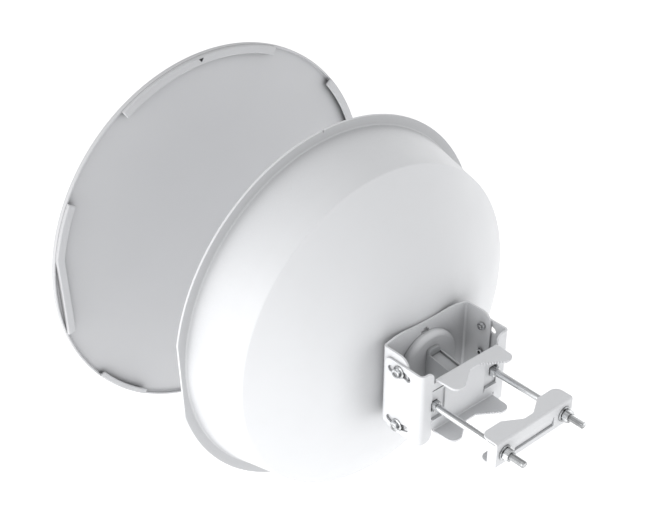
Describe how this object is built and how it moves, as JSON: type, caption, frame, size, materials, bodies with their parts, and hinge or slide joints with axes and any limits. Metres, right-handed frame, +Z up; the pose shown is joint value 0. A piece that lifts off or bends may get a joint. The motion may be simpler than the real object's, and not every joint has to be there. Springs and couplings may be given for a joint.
{
  "type": "wireless dish antenna on a pole bracket, front cover lifted off",
  "caption": "Shrouded parabolic dish antenna with tilting pole bracket, two-bolt pole clamp and a separate round front cover.",
  "frame": {"origin": "middle of the pole bracket's web, on the face toward the pole", "axes": "+Z up along the pole, -Y the way the dish looks, +Y toward the pole and the clamp jaw, +X along the bracket"},
  "size_m": [0.486, 0.5635, 0.486],
  "materials": {
    "white_paint": "satin",
    "cover_plastic": "matt",
    "zinc_steel": "zinc plated",
    "radio_plastic": "matt"
  },
  "bodies": {
    "pole_mount": {"pole_bracket": "white_paint", "clamp_bolt_left": "zinc_steel", "clamp_bolt_right": "zinc_steel"},
    "jaw": {"clamp_jaw": "white_paint", "clamp_washer_left": "zinc_steel", "clamp_washer_right": "zinc_steel", "clamp_nut_left": "zinc_steel", "clamp_nut_right": "zinc_steel"},
    "dish": {"shroud": "white_paint", "reflector_bowl": "white_paint", "dish_bracket": "white_paint", "hub_dome": "white_paint", "radio_block": "radio_plastic", "radio_lid": "radio_plastic", "feed_tube": "zinc_steel", "feed_cone": "cover_plastic", "sub_reflector": "zinc_steel", "elevation_bolt_left_upper": "zinc_steel", "elevation_bolt_left_lower": "zinc_steel", "elevation_bolt_right_upper": "zinc_steel", "elevation_bolt_right_lower": "zinc_steel", "elevation_nut_left_upper": "zinc_steel", "elevation_nut_left_lower": "zinc_steel", "elevation_nut_right_upper": "zinc_steel", "elevation_nut_right_lower": "zinc_steel"},
    "cover": {"cover_face": "cover_plastic", "cover_rim": "cover_plastic"}
  },
  "joints": [
    {"name": "elevation_tilt", "type": "hinge", "parent": "pole_mount", "child": "dish", "pos_m": [0, -0.034, 0], "axis": [1, 0, 0], "range_deg": [-18, 18]},
    {"name": "clamp_slide", "type": "slide", "parent": "pole_mount", "child": "jaw", "axis": [0, 1, 0], "range_m": [-0.038, 0.01]},
    {"name": "cover_slide", "type": "slide", "parent": "dish", "child": "cover", "axis": [0, 1, 0], "range_m": [0, 0.2272]}
  ]
}
